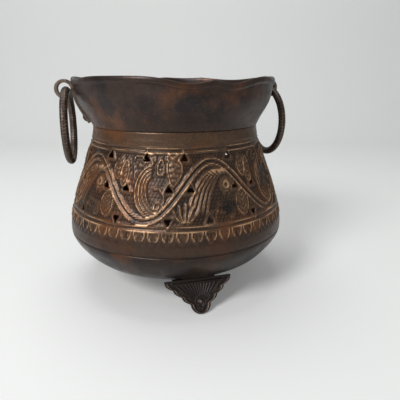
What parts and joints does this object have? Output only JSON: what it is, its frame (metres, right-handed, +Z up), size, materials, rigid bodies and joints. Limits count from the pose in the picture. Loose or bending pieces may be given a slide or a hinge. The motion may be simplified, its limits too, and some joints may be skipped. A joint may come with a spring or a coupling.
{
  "type": "tripod bulb pot",
  "caption": "Small footed sheet-metal pot for planting bulbs, with a pierced embossed band, a flared collar and swinging ring handles.",
  "frame": {"origin": "on the pot's axis at floor level, under the middle of the pot", "axes": "+Z up along the pot's axis, front foot towards -Y, ring handles towards +X and -X"},
  "size_m": [0.1974, 0.1892, 0.1776],
  "materials": {
    "patinated_sheet": "dark brown patina on raised copper sheet",
    "embossed_sheet": "embossed copper sheet, ridges rubbed bright over a dark patina",
    "forged_strap": "forged, dark patina",
    "hammered_bar": "hammered, dark patina",
    "rivet": "domed, dark patina"
  },
  "bodies": {
    "pot": {"bowl": "patinated_sheet", "band": "embossed_sheet", "collar": "patinated_sheet", "hanger_left": "forged_strap", "hanger_right": "forged_strap", "strap_rivet_left": "rivet", "strap_rivet_right": "rivet", "foot_front": "embossed_sheet", "foot_left": "embossed_sheet", "foot_right": "embossed_sheet", "foot_rivets_front": "rivet", "foot_rivets_left": "rivet", "foot_rivets_right": "rivet"},
    "ring_left": {"ring_left": "hammered_bar"},
    "ring_right": {"ring_right": "hammered_bar"}
  },
  "joints": [
    {"name": "ring_left_swing", "type": "hinge", "parent": "pot", "child": "ring_left", "pos_m": [-0.08949, 0.00783, 0.16642], "axis": [0.0872, 0.9962, 0], "range_deg": [-5, 195]},
    {"name": "ring_right_swing", "type": "hinge", "parent": "pot", "child": "ring_right", "pos_m": [0.08949, 0.00783, 0.16642], "axis": [0.0872, -0.9962, 0], "range_deg": [-5, 195]}
  ]
}
